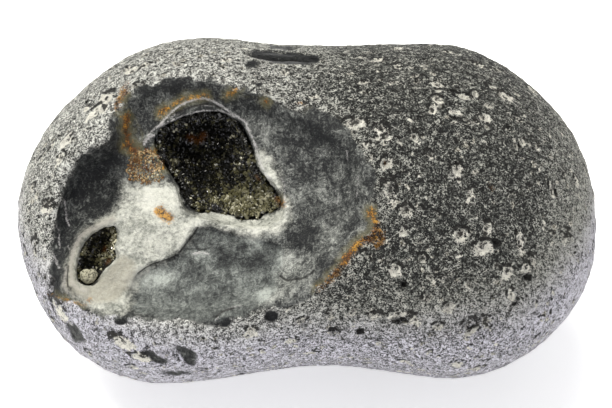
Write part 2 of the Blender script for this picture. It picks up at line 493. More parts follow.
def new_material(name, **values):
    """A material with one Principled shader, with these values on its own sockets."""
    material = bpy.data.materials.new(name)
    material.use_nodes = True
    shader = material.node_tree.nodes["Principled BSDF"]
    for socket, value in values.items():
        shader.inputs[socket.replace("_", " ")].default_value = value
    return material, material.node_tree, shader


# Settings of the two kinds of node that are used most.
COLOUR = {"output": 2, "data_type": "RGBA"}
SOFT = {"interpolation_type": "SMOOTHSTEP"}


# --- The stone -----------------------------------------------------------------------------------


def on_front(face):
    """Which points, in the face frame, are on the side of the broken face."""
    return face[:, 2] + LEAN * face[:, 1] > 0


def place_scars(points, normals):
    """Puts each scar on the stone: its centre, its two axes, half sizes, depth, cream and darkness."""
    face = to_face(points)
    front = np.flatnonzero(on_front(face))
    rind = np.flatnonzero(~on_front(face) | (inside(BREAK_RIM, face[:, :2], 2.0) < -0.5))
    random = np.random.default_rng(SEED)
    given = []
    for x, v, half_length, half_width, turn, *look in SCARS:
        at = front[((face[front, :2] - (x, v)) ** 2).sum(axis=1).argmin()]
        given.append((at, math.radians(turn), half_length, half_width, *look))
    for at in random.choice(rind, STREWN_SCARS["count"], replace=False):
        size = random.uniform() ** 2.2
        half_length, depth = (
            STREWN_SCARS[name][0] + (STREWN_SCARS[name][1] - STREWN_SCARS[name][0]) * size
            for name in ("half_length", "depth")
        )
        short = half_length < STREWN_SCARS["dark_length"]
        dark = 0.85 * float(random.uniform() < STREWN_SCARS["dark_share"] and short)
        cream = random.uniform(*STREWN_SCARS["cream"])
        half_width = half_length * random.uniform(*STREWN_SCARS["narrowness"])
        given.append((at, random.uniform(0.0, math.pi), half_length, half_width, depth, cream, dark))
    scars = []
    for at, turn, *look in given:
        normal = Vector(normals[at])
        lengthways = Matrix.Rotation(FACE_TURN, 3, "X") @ Vector((math.cos(turn), math.sin(turn), 0.0))
        lengthways = (lengthways - lengthways.dot(normal) * normal).normalized()
        scars.append((points[at] / MM, np.array([lengthways, normal.cross(lengthways)]), *look))
    return scars


def scar_fields(points, scars):
    """How far the scars sink each point, in millimetres, and how cream, dark and worn they make it."""
    places = points / MM
    sink, cream, dark, worn = (np.zeros(len(points)) for _ in range(4))
    wobble = 0.55 * lumps(places, 0.8, 3)
    for centre, axes, half_length, half_width, depth, scar_cream, scar_dark in scars:
        near = np.flatnonzero((np.abs(places - centre) < 3.5 * half_length).all(axis=1))
        if not len(near):
            continue
        gap = places[near] - centre
        out = np.hypot(gap @ axes[0] / half_length, gap @ axes[1] / half_width) + wobble[near]
        bowl = depth * (eased(1.2 - out) - 0.25 * np.exp(-(((out - 1.25) / 0.25) ** 2)))
        sink[near] = np.where(np.abs(bowl) > np.abs(sink[near]), bowl, sink[near])
        cream[near] = np.maximum(cream[near], scar_cream * np.clip(1.6 - 0.8 * out, 0, 1))
        dark[near] = np.maximum(dark[near], scar_dark * np.clip(1.6 - out, 0, 1))
        upper = np.clip(0.4 + gap @ UP_THE_FACE / half_width, 0, 1) * (scar_cream > 0)
        dark[near] = np.maximum(dark[near], 1.1 * upper * np.exp(-(((out - 1.75) / 0.3) ** 2)))
        gap -= 0.55 * min(half_length, half_width) * np.array(UP_THE_FACE)
        above = np.hypot(gap @ axes[0] / half_length, gap @ axes[1] / half_width) + wobble[near]
        dark[near] = np.maximum(dark[near], 0.75 * (depth > 0.25) * np.clip(1.25 - 1.3 * above, 0, 1))
        worn[near] = np.maximum(worn[near], (0.4 + 0.6 * scar_cream) * np.clip(1.5 - 0.5 * out, 0, 1))
    return sink, cream, dark, worn


def widest(spots, paths, reach):
    """How far each spot is inside the nearest (path, half width), and negative outside, down to -reach."""
    depth = np.full(len(spots), -float(reach))
    for path, half_width in paths:
        depth = np.maximum(depth, half_width - distance_to(path, spots, reach + half_width))
    return depth


def flake_fields(face, spots):
    """How far each point is inside a flake, in millimetres down to -4, and how much flakes lift its tone.

    The spots are the points' x and v, which may be bent a little to roughen the outlines.
    """
    depth, tone = np.full(len(spots), -4.0), np.zeros(len(spots))
    front = np.flatnonzero(on_front(face))
    for x, v, half_length, half_width, turn, lift in FLAKES:
        cos, sin = math.cos(math.radians(turn)), math.sin(math.radians(turn))
        gap = (spots - (x, v)) @ ((cos, -sin), (sin, cos)) / (half_length, half_width)
        middle = front[((face[front, :2] - (x, v)) ** 2).sum(axis=1).argmin()]
        out = np.hypot(np.hypot(*gap.T), (face[:, 2] - face[middle, 2]) / FLAKE_REACH)
        depth = np.maximum(depth, (1 - out) * 2 * half_width)
        tone += lift * eased(1.5 - out)
    return depth, tone


def vug_share(face):
    """How far each point of the face frame is inside a vug, from 0 at its mouth to 1 on its walls."""
    share = np.zeros(len(face))
    coated = np.maximum(inside(WHITE_COAT, face[:, :2], 2.0), inside(LIP_MASS, face[:, :2], 2.0))
    coated = eased((coated + 0.6 * lumps(face, 1.6, 2)) / 0.9)
    for mouth, overhang in zip(MOUTHS, COAT_OVERHANG):
        within = inside(mouth, face[:, :2], 5.0)
        near = on_front(face) & (within > -5.0)
        rim = near & (np.abs(within + 0.4) < 0.4) & (face[:, 2] > np.median(face[near, 2]))
        level = np.column_stack([face[:, :2], np.ones(len(face))])
        depth = level @ np.linalg.lstsq(level[rim], face[rim, 2], rcond=None)[0] - face[:, 2]
        limit = 0.5 + 1.2 * np.maximum(0.0, -within) + 0.4 * lumps(face, 1.3, 2) + overhang * coated
        share = np.maximum(share, eased((depth - limit) / 0.5) * near)
    return share


def face_relief(face):
    """How far the lips, cracks and ripples of the broken face raise each point, in millimetres."""
    spots = face[:, :2]
    wavy = spots + np.stack([lumps(face, 2.2, 2), lumps(face, 2.2, 2, 9.0)], axis=1) * 0.3
    raised = -0.3 * eased(inside(BREAK_RIM, wavy, 4.0) / 0.8)
    for path, width, height, _tint in LIPS:
        raised += height * np.exp(-((distance_to(path, wavy, 4.0) / (1.4 * width)) ** 2))
    for path, width, depth in CRACKS:
        raised -= depth * np.exp(-((distance_to(path, spots, 2.0) / (1.6 * width)) ** 2))
    slab = inside(SLAB, wavy, 4.0)
    below_ledge = np.exp(-((distance_to(SLAB_LEDGE, wavy, 6.0) / 2.6) ** 2))
    raised -= 0.6 * eased((slab + 0.1) / 0.45) * below_ledge
    crease = np.abs(spots[:, 0] + 17.6 - 0.1 * (spots[:, 1] + 10.0))
    raised += 0.3 * np.exp(-crease / 1.3) * eased(slab / 1.5)
    ripples = np.sin(np.hypot(spots[:, 0] + 8.0, spots[:, 1] + 40.0) * 1.25 + 2.0 * lumps(face, 9.0))
    raised += 0.06 * ripples * eased((spots[:, 0] + 14.0) / 6.0)
    grainy = np.maximum(inside(WHITE_COAT, wavy, 3.0), inside(DRUSE_PATCH, wavy, 3.0))
    raised += (0.3 * lumps(face, 2.2, 3) + 0.12 * lumps(face, 0.8)) * eased((grainy + 0.5) / 1.2)
    raised += 0.09 * lumps(face, 2.4, 3)
    return raised


def paint_minerals(mesh, scars):
    """Keeps on each vertex how far inside each mineral and mark it is, in millimetres or from 0 to 1."""
    points = points_of(mesh)
    face = to_face(points)
    front = np.where(on_front(face), 0.0, -8.0)
    spots = face[:, :2]
    wavy = spots + np.stack([lumps(face, 1.8, 3), lumps(face, 1.8, 3, 9.0)], axis=1) * 0.45
    _sink, cream, dark, worn = scar_fields(points, scars)
    tone = sum(
        lift * np.exp(-(((wavy[:, 0] - x) / half_x) ** 2) - ((wavy[:, 1] - v) / half_v) ** 2)
        for (x, v), (half_x, half_v), lift in CLOUDS
    )
    near_line = spots + 0.3 * (wavy - spots)
    lips = widest(near_line, [(path, 0.6 * width) for path, width, _height, _tint in LIPS], 2.0)
    cream_lips = widest(near_line, [(path, width) for path, width, _height, tint in LIPS if tint > 0.5], 2.0)
    white = np.maximum(inside(WHITE_COAT, wavy, 4.0), inside(LIP_MASS, wavy, 4.0))
    ragged = spots + np.stack([lumps(face, 3.2, 4), lumps(face, 3.2, 4, 9.0)], axis=1) * 1.4
    flaked, flake_tone = flake_fields(face, (wavy + ragged) / 2)
    paint(mesh, "broken", np.maximum(inside(BREAK_RIM, ragged, 4.0), flaked) + front)
    paint(mesh, "white", white + front)
    paint(mesh, "lip", lips + front)
    paint(mesh, "creamy", np.maximum(inside(CREAM_COAT, wavy, 3.0), cream_lips) + front)
    paint(mesh, "slab", inside(SLAB, wavy, 3.0) + front)
    paint(mesh, "rust", widest(wavy, RUST, 2.0) + front)
    paint(mesh, "crack", widest(spots, [(path, width) for path, width, _depth in CRACKS], 2.0) + front)
    paint(mesh, "tone", (tone + flake_tone) * (front == 0.0))
    paint(mesh, "chipped", cream)
    paint(mesh, "hole", dark)
    paint(mesh, "worn", worn)
    paint(mesh, "vug", vug_share(face))


def build_stone(settings):
    """Draws the stone's fine surface from its solid, and sinks and raises its detail."""
    obj = new_object("flint_stone", node_mesh("flint_nodule"))
    remesh = obj.modifiers.new("fine_surface", "REMESH")
    remesh.mode = "VOXEL"
    remesh.voxel_size = settings.surface_step
    apply_modifiers(obj)

    worn_smooth = obj.vertex_groups.new(name="worn_smooth")
    crisp = np.round(vug_share(to_face(points_of(obj.data))), 1)
    for level in np.unique(crisp):
        worn_smooth.add(np.flatnonzero(crisp == level).tolist(), 1 - 0.75 * float(level), "REPLACE")
    smooth = obj.modifiers.new("sea_wear", "SMOOTH")
    smooth.factor = 0.5
    smooth.iterations = settings.wear
    smooth.vertex_group = worn_smooth.name
    apply_modifiers(obj)

    mesh = obj.data
    points, normals = points_of(mesh), normals_of(mesh)
    scars = place_scars(points, normals)
    face = to_face(points)
    broken = np.where(on_front(face), eased((inside(BREAK_RIM, face[:, :2], 4.0) + 0.8) / 1.2), 0.0)
    grit = 0.16 * lumps(face, 3.0, 2) + 0.09 * lumps(face, 1.1, 2)
    sunk = (1 - 0.6 * broken) * scar_fields(points, scars)[0]
    raised = (1 - broken) * grit - sunk + broken * face_relief(face)
    raised -= 0.45 * on_front(face) * eased(flake_fields(face, face[:, :2])[0] / 0.6 + 0.5)
    raised *= 1 - 0.8 * vug_share(face)
    moved = points + normals * raised[:, None] * MM
    move_points(mesh, np.clip(moved, *(np.array(corner) for corner in CAD_BOX)))

    thinned = obj.vertex_groups.new(name="thinned")
    thinning = np.where(on_front(face), THINNING["front"], THINNING["back"])
    thinning = np.round(thinning - THINNING["less_if_broken"] * broken, 1)
    for level in np.unique(thinning):
        thinned.add(np.flatnonzero(thinning == level).tolist(), float(level), "REPLACE")
    decimate = obj.modifiers.new("even_out", "DECIMATE")
    decimate.ratio = min(1.0, settings.stone_triangles / (2 * len(mesh.polygons)))
    decimate.vertex_group = thinned.name
    apply_modifiers(obj)
    obj.vertex_groups.clear()
    obj.data.shade_smooth()
    paint_minerals(obj.data, scars)
    finish_piece(obj, flint_material(settings), "flint", "flint_nodule")


def flint_material(settings):
    """Flint in its rind, sea-worn and chipped: the rind is matt grit, and the broken flint waxy glass."""
    material, tree, shader = new_material("flint_and_rind", IOR=1.54, Specular_IOR_Level=0.25)
    add = partial(add_node, tree)
    tint = {name: tuple(getattr(settings, name)) for name in PALETTE}
    grain = stone_grain(add)
    mark = {name: add("Attribute", {}, "Fac", attribute_name=name) for name in MARKS}
    rind, rind_height = rind_look(add, grain, mark, tint)
    flint, coated = broken_look(add, grain, mark, tint)

    # Rind meets flint along a crumbling edge, stained by iron.
    edge = weighted(add, (mark["broken"], 1.0), (grain["haze"], 1.6), (grain["grit"], 1.2))
    broken = add("MapRange", {0: edge, 1: 1.1, 2: 1.75}, **SOFT)
    colour = add("Mix", {0: broken, 6: rind, 7: flint}, **COLOUR)
    rust, rusty = rust_look(add, grain, mark, tint)
    colour = add("Mix", {0: rusty, 6: colour, 7: rust}, **COLOUR)
    wall = add("MapRange", {0: mark["vug"], 1: 0.35, 2: 0.85})
    colour = add("Mix", {0: wall, 6: colour, 7: tint["vug_wall"]}, **COLOUR)
    tree.links.new(colour, shader.inputs["Base Color"])

    gloss = add("MapRange", {0: broken, 1: 0.0, 2: 1.0, 3: 0.8, 4: 0.42}, **SOFT)
    tree.links.new(weighted(add, (gloss, 1.0), (coated, 0.15), (rusty, 0.3)), shader.inputs["Roughness"])
    flint_height = weighted(
        add,
        *((grain["grit"], 0.15), (grain["haze"], 0.5), (grain["streaks"], 0.2), (coated, 0.3)),
    )
    relief = add("Mix", {0: broken, 2: rind_height, 3: flint_height})
    bump = add("Bump", {"Height": relief, "Distance": MM, "Strength": 1.0})
    tree.links.new(bump, shader.inputs["Normal"])
    return material


# The attributes that paint_minerals keeps on the stone.
MARKS = (
    *("broken", "white", "lip", "creamy", "slab", "rust", "crack", "tone"),
    *("chipped", "hole", "worn", "vug"),
)


def weighted(add, *terms):
    """The sum of (value, weight) pairs."""
    value = 0.0
    for part, weight in terms:
        value = add("Math", {0: part, 1: weight, 2: value}, operation="MULTIPLY_ADD")
    return value


def stone_grain(add):
    """Noise in the stone, from sand-blasted grit to clouds as wide as a finger, in lumps per millimetre."""
    place = add("TexCoord", {}, "Object")
    mm = add("VectorMath", {0: place, "Scale": 1 / MM}, operation="SCALE")
    streaked = add("VectorMath", {0: mm, 1: (1.6, 0.4, 0.4)}, operation="MULTIPLY")
    sand = add("TexVoronoi", {"Vector": mm, "Scale": 5.0}, "Color")
    warp = add("TexNoise", {"Vector": mm, "Scale": 0.9, "Detail": 2.0}, "Color")
    return {
        "mm": mm,
        "along": add("SeparateXYZ", {0: mm}, 0),
        "height": add("SeparateXYZ", {0: mm}, 2),
        "grit": add("TexNoise", {"Vector": mm, "Scale": 3.8, "Detail": 3.0, "Roughness": 0.7}),
        "haze": add("TexNoise", {"Vector": mm, "Scale": 1.3, "Detail": 4.0, "Roughness": 0.7}),
        "milk": add(
            "TexNoise",
            {"Vector": mm, "Scale": 0.28, "Detail": 5.0, "Roughness": 0.62, "Distortion": 0.6},
        ),
        "cloud": add("TexNoise", {"Vector": mm, "Scale": 0.09, "Detail": 3.0, "Roughness": 0.55}),
        "crumple": add(
            "TexNoise",
            {"Vector": mm, "Scale": 0.8, "Detail": 4.0, "Roughness": 0.6, "Distortion": 0.5},
        ),
        "wisps": add(
            "TexNoise",
            {"Vector": mm, "Scale": 0.75, "Detail": 5.0, "Roughness": 0.65, "Distortion": 2.2},
        ),
        "streaks": add("TexNoise", {"Vector": streaked, "Scale": 0.9, "Detail": 4.0, "Roughness": 0.7}),
        "sand": add("SeparateColor", {0: sand}, 0),
        "coarse_sand": add("SeparateColor", {0: sand}, 1),
        "bent": add("VectorMath", {0: warp, 1: (1.8, 1.8, 1.8), 2: mm}, operation="MULTIPLY_ADD"),
    }


def rind_look(add, grain, mark, tint):
    """Rind: charcoal with pale grit, worn pale on the broken lobe and low down, pitted and chipped."""
    reach = weighted(add, (grain["along"], 1.0), (grain["cloud"], 16.0))
    pale_lobe = add("MapRange", {0: reach, 1: 21.0, 2: -9.0}, **SOFT)
    far_end = add("MapRange", {0: reach, 1: 48.0, 2: 58.0}, **SOFT)
    low_ground = weighted(add, (grain["height"], 1.0), (grain["cloud"], 6.0))
    bloom = add("MapRange", {0: low_ground, 1: 42.0, 2: 31.0}, **SOFT)
    low_ground = add("MapRange", {0: low_ground, 1: 47.0, 2: 36.0}, **SOFT)
    crumbly = add("MapRange", {0: mark["broken"], 1: -3.8, 2: -1.0}, **SOFT)
    sandy = add("MapRange", {0: grain["crumple"], 1: 0.38, 2: 0.6, 3: 1.6, 4: 4.6})
    sandy = weighted(add, (sandy, 1.0), (crumbly, 1.5))
    worn_pale = {0: weighted(add, (pale_lobe, 0.85)), 1: weighted(add, (low_ground, 1.5))}
    worn_pale = add("Math", worn_pale, operation="MAXIMUM")
    level = weighted(
        add,
        *((add("Math", {0: grain["sand"], 1: 0.5}, operation="SUBTRACT"), sandy),),
        *((grain["grit"], 2.2), (grain["haze"], 2.6), (grain["milk"], 2.2)),
        *((worn_pale, 1.0), (pale_lobe, 0.3), (crumbly, 0.9), (far_end, 1.0)),
        *((mark["worn"], 0.35), (grain["crumple"], 2.2)),
    )
    grey = add("MapRange", {0: level, 1: 4.15, 2: 5.0})
    rind = add("Mix", {0: grey, 6: tint["rind_dark"], 7: tint["rind_grey"]}, **COLOUR)
    pale = add("Mix", {0: pale_lobe, 6: tint["rind_pale"], 7: tint["rind_white"]}, **COLOUR)
    pale = add("Mix", {0: bloom, 6: pale, 7: tint["rind_lilac"]}, **COLOUR)
    bright = add("MapRange", {0: level, 1: 5.0, 2: 6.4})
    rind = add("Mix", {0: bright, 6: rind, 7: pale}, **COLOUR)
    level = weighted(
        add,
        *((grain["coarse_sand"], 0.5), (grain["haze"], 3.0), (grain["grit"], 1.8), (grain["crumple"], 2.0)),
        *((mark["worn"], 0.1), (crumbly, -0.1), (bloom, 0.1)),
    )
    pinholes = add("MapRange", {0: level, 1: 3.52, 2: 3.1, 4: 0.92}, **SOFT)
    rind = add("Mix", {0: pinholes, 6: rind, 7: tint["hole_dark"]}, **COLOUR)
    across = add("Math", {0: grain["crumple"], 1: 0.5}, operation="SUBTRACT")
    across = add("Math", {0: across}, operation="ABSOLUTE")
    level = weighted(add, (across, 1.0), (grain["milk"], -0.12), (grain["grit"], -0.05))
    crevice = add("MapRange", {0: level, 1: -0.062, 2: -0.085, 4: 0.85}, **SOFT)
    rind = add("Mix", {0: crevice, 6: rind, 7: tint["hole_dark"]}, **COLOUR)

    # Chips too many to carve, about 2 mm apart, each with the hole that it left just above it.
    chips = []
    for lift, wide in ((0.0, 0.34), (0.34, 0.3)):
        lifted = add("VectorMath", {0: grain["bent"], 1: -lift * UP_THE_FACE})
        jumbled = {"Vector": lifted, "Scale": 0.5, "Randomness": 1.0}
        near = add("TexVoronoi", jumbled, "Distance")
        size = add("SeparateColor", {0: add("TexVoronoi", jumbled, "Color")}, 2)
        size = add("Math", {0: size, 1: 3.0}, operation="POWER")
        reach = weighted(
            add,
            *((size, wide), (near, -1.0)),
            *((grain["grit"], 0.35), (grain["haze"], 0.8), (grain["crumple"], 0.4)),
        )
        chips.append(add("MapRange", {0: reach, 1: 0.71, 2: 0.84, 4: 0.9}, **SOFT))
    chip, chip_hole = chips
    rind = add("Mix", {0: chip_hole, 6: rind, 7: tint["hole_dark"]}, **COLOUR)
    share = weighted(
        add,
        *((grain["grit"], 1.0), (grain["haze"], 0.9), (grain["sand"], 0.3), (mark["chipped"], 0.3)),
    )
    share = add("MapRange", {0: share, 1: 0.92, 2: 1.36}, **SOFT)
    crumbs = add("Mix", {0: share, 6: tint["chip_shadow"], 7: tint["chip_cream"]}, **COLOUR)
    rind = add("Mix", {0: chip, 6: rind, 7: crumbs}, **COLOUR)
    level = weighted(
        add,
        *((mark["chipped"], 1.0), (grain["haze"], 2.4), (grain["grit"], 1.2), (grain["milk"], 0.4)),
    )
    chipped = add("MapRange", {0: level, 1: 2.46, 2: 2.64}, **SOFT)
    rind = add("Mix", {0: chipped, 6: rind, 7: crumbs}, **COLOUR)
    level = weighted(add, (mark["hole"], 1.0), (grain["haze"], 2.2), (grain["grit"], 1.0))
    hole = add("MapRange", {0: level, 1: 1.98, 2: 2.2, 4: 0.94}, **SOFT)
    rind = add("Mix", {0: hole, 6: rind, 7: tint["hole_dark"]}, **COLOUR)
    return rind, weighted(
        add,
        *((grain["grit"], 0.5), (grain["sand"], 0.1), (grain["haze"], 0.9)),
        *((pinholes, -0.25), (crevice, -0.3), (chip, 0.25), (chipped, 0.3), (chip_hole, -0.4), (hole, -0.5)),
    )


def broken_look(add, grain, mark, tint):
    """Broken flint: cloudy grey glass, bluish where deep, with healed cracks and a white chalcedony coat."""
    slab = add("MapRange", {0: mark["slab"], 1: -0.4, 2: 0.6}, **SOFT)
    tone = weighted(
        add,
        *((grain["wisps"], 3.6), (grain["streaks"], 1.6), (grain["grit"], 1.8), (grain["sand"], 0.4)),
    )
    tone = add("Math", {0: tone, 1: 3.7}, operation="SUBTRACT")
    calm = add("MapRange", {0: slab, 3: 1.0, 4: 0.68})
    tone = add("Math", {0: tone, 1: calm}, operation="MULTIPLY")
    tone = weighted(add, (tone, 1.0), (slab, 0.32), (mark["tone"], 0.8), (grain["milk"], 3.0))
    cloudy = add("MapRange", {0: tone, 1: 0.95, 2: 2.25}, **SOFT)
    flint = add("Mix", {0: cloudy, 6: tint["flint_dark"], 7: tint["flint_grey"]}, **COLOUR)
    milky = add("MapRange", {0: tone, 1: 1.7, 2: 3.5}, **SOFT)
    flint = add("Mix", {0: milky, 6: flint, 7: tint["flint_pale"]}, **COLOUR)
    net = add("TexVoronoi", {"Vector": grain["bent"], "Scale": 0.42}, feature="DISTANCE_TO_EDGE")
    net = add("MapRange", {0: net, 1: 0.04, 2: 0.0}, **SOFT)
    clear = add("MapRange", {0: mark["tone"], 1: 0.1, 2: -0.4, 3: 0.05, 4: 0.22}, **SOFT)
    hazy = add("MapRange", {0: grain["haze"], 1: 0.42, 2: 0.6}, **SOFT)
    clear = add("Math", {0: clear, 1: hazy}, operation="MULTIPLY")
    net = add("Math", {0: net, 1: clear}, operation="MULTIPLY")
    flint = add("Mix", {0: net, 6: flint, 7: tint["coat_shadow"]}, **COLOUR)
    bluish = add("Mix", {0: slab, 6: (1.0, 1.0, 1.0, 1.0), 7: tint["slab_blue"]}, **COLOUR)
    flint = add("Mix", {0: 1.0, 6: flint, 7: bluish}, blend_type="MULTIPLY", **COLOUR)
    level = weighted(add, (mark["rust"], 1.0), (grain["haze"], 2.0), (grain["wisps"], 1.0))
    stained = add("MapRange", {0: level, 1: 0.1, 2: 1.4, 4: 0.45}, **SOFT)
    flint = add("Mix", {0: stained, 6: flint, 7: tint["stain_olive"]}, **COLOUR)

    level = weighted(
        add,
        *((grain["haze"], 2.8), (grain["grit"], 1.6), (grain["milk"], 3.6), (grain["wisps"], 2.2)),
    )
    level = weighted(add, (level, 1.0), (mark["tone"], 1.0))
    share = add("MapRange", {0: level, 1: 3.8, 2: 6.3}, **SOFT)
    coat = add("Mix", {0: share, 6: tint["coat_shadow"], 7: tint["chalcedony"]}, **COLOUR)
    level = weighted(add, (mark["creamy"], 1.0), (grain["haze"], 1.4))
    creamy = add("MapRange", {0: level, 1: 0.1, 2: 1.5, 4: 0.7}, **SOFT)
    coat = add("Mix", {0: creamy, 6: coat, 7: tint["coat_cream"]}, **COLOUR)
    level = weighted(
        add,
        *((mark["white"], 1.0), (grain["haze"], 2.6), (grain["milk"], 3.0), (grain["grit"], 0.8)),
    )
    coated = add("MapRange", {0: level, 1: 2.1, 2: 4.0}, **SOFT)
    flint = add("Mix", {0: coated, 6: flint, 7: coat}, **COLOUR)
    level = weighted(add, (mark["lip"], 1.0), (grain["haze"], 0.9), (grain["grit"], 0.9))
    lip = add("MapRange", {0: level, 1: 0.8, 2: 1.15, 4: 0.7}, **SOFT)
    edge = add("Mix", {0: creamy, 6: tint["lip_lilac"], 7: tint["coat_cream"]}, **COLOUR)
    flint = add("Mix", {0: lip, 6: flint, 7: edge}, **COLOUR)

    level = weighted(add, (mark["crack"], 1.0), (grain["grit"], 0.2))
    crack = add("MapRange", {0: level, 1: 0.02, 2: 0.16, 4: 0.8}, **SOFT)
    flint = add("Mix", {0: crack, 6: flint, 7: tint["hole_dark"]}, **COLOUR)
    level = weighted(add, (mark["hole"], 1.0), (grain["haze"], 0.6))
    hollow = add("MapRange", {0: level, 1: 0.8, 2: 1.2, 4: 0.8}, **SOFT)
    return add("Mix", {0: hollow, 6: flint, 7: tint["flint_dark"]}, **COLOUR), coated


def rust_look(add, grain, mark, tint):
    """Iron stains: brown specks in ochre and orange, thinning out at their edges."""
    level = weighted(add, (grain["haze"], 1.6), (grain["grit"], 1.2), (grain["sand"], 0.3))
    share = add("MapRange", {0: level, 1: 1.4, 2: 1.9}, **SOFT)
    rust = add("Mix", {0: share, 6: tint["rust_brown"], 7: tint["rust_orange"]}, **COLOUR)
    level = weighted(add, (level, 0.6), (grain["milk"], 1.4))
    share = add("MapRange", {0: level, 1: 1.58, 2: 1.9}, **SOFT)
    rust = add("Mix", {0: share, 6: rust, 7: tint["rust_ochre"]}, **COLOUR)
    level = weighted(add, (mark["rust"], 1.0), (grain["haze"], 2.2), (grain["grit"], 1.4))
    return rust, add("MapRange", {0: level, 1: 1.6, 2: 2.5, 4: 0.92}, **SOFT)


# --- The crystals --------------------------------------------------------------------------------


def crystal_template():
    """One quartz point, a unit wide and a unit long, on the origin: a six-sided prism under a pyramid."""
    bm = bmesh.new()
    bmesh.ops.create_cone(bm, cap_ends=True, segments=6, radius1=0.5, radius2=0.44, depth=0.65)
    bmesh.ops.translate(bm, verts=bm.verts, vec=(0.0, 0.0, 0.325))
    by_height = sorted(bm.faces, key=lambda face: face.calc_center_median().z)
    bmesh.ops.poke(bm, faces=[by_height[-1]], offset=0.35)
    bmesh.ops.delete(bm, geom=[by_height[0]], context="FACES")
    bmesh.ops.triangulate(bm, faces=bm.faces)
    mesh = bpy.data.meshes.new("crystal_template")
    bm.to_mesh(mesh)
    bm.free()
    return mesh


def triangles_of(mesh, chosen=None):
    """The corners of the mesh's triangles, or of those whose three vertices are all chosen, as (n, 3, 3)."""
    mesh.calc_loop_triangles()
    corners = np.empty(len(mesh.loop_triangles) * 3, np.int32)
    mesh.loop_triangles.foreach_get("vertices", corners)
    corners = corners.reshape(-1, 3)
    return points_of(mesh)[corners if chosen is None else corners[chosen[corners].all(axis=1)]]


def grow_crystals(name, ground, count, length, width, random):
    """Stands crystals on a ground of triangles: their one mesh, the foot of each, and its count of points."""
    template = crystal_template()
    corners = points_of(template)
    faces = np.empty(len(template.polygons) * 3, np.int32)
    template.polygons.foreach_get("vertices", faces)
    bpy.data.meshes.remove(template)

    along, across = ground[:, 1] - ground[:, 0], ground[:, 2] - ground[:, 0]
    normal = np.cross(along, across)
    area = np.linalg.norm(normal, axis=1)
    chosen = random.choice(len(ground), count, p=area / area.sum())
    share = random.uniform(size=(count, 2))
    share = np.where(share.sum(axis=1, keepdims=True) > 1, 1 - share, share)
    foot = ground[chosen, 0] + share[:, :1] * along[chosen] + share[:, 1:] * across[chosen]
    up = normal[chosen] / area[chosen, None] + CRYSTAL_TILT * random.normal(size=(count, 3))
    up /= np.linalg.norm(up, axis=1, keepdims=True)
    side = np.cross(up, random.normal(size=(count, 3)))
    side /= np.linalg.norm(side, axis=1, keepdims=True)
    size = random.uniform(size=count) ** 4
    tall = (length[0] + (length[1] - length[0]) * size) * random.uniform(0.7, 1.1, count) * MM
    wide = (width[0] + (width[1] - width[0]) * size) * random.uniform(0.8, 1.2, count) * MM
    axes = np.stack([side * wide[:, None], np.cross(up, side) * wide[:, None], up * tall[:, None]], axis=1)
    points = (foot - 0.35 * tall[:, None] * up)[:, None] + np.einsum("kc,ncd->nkd", corners, axes)
    offsets = (np.arange(count) * len(corners))[:, None, None]
    mesh = bpy.data.meshes.new(name)
    triangles = (faces.reshape(1, -1, 3) + offsets).reshape(-1, 3)
    mesh.from_pydata(points.reshape(-1, 3).tolist(), [], triangles.tolist())
    return mesh, foot, len(corners)


def vug_crust(name, stone, node, thickness):
    """The lining of a vug: the stone's wall behind the node, thickened inwards and thin at its edge."""
    low, high = (np.array(corner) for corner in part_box(node))
    points = points_of(stone.data)
    share = np.empty(len(points), np.float32)
    stone.data.attributes["vug"].data.foreach_get("value", share)
    kept = (share > 0.05) & ((points > low - 4 * MM) & (points < high + 4 * MM)).all(axis=1)
    bm = bmesh.new()
    bm.from_mesh(stone.data)
    bm.verts.ensure_lookup_table()
    bmesh.ops.delete(bm, geom=[bm.verts[i] for i in np.flatnonzero(~kept)], context="VERTS")
    bm.normal_update()
    layers = bm.verts.layers.float
    share = [vert[layers["vug"]] for vert in bm.verts]
    for vert, normal, inner in zip(bm.verts, [vert.normal.copy() for vert in bm.verts], share):
        vert.co += normal * (float(eased((inner - 0.2) / 0.8)) * thickness - 0.05) * MM
    for layer in layers.values():
        layers.remove(layer)
    return new_object(name, bm)


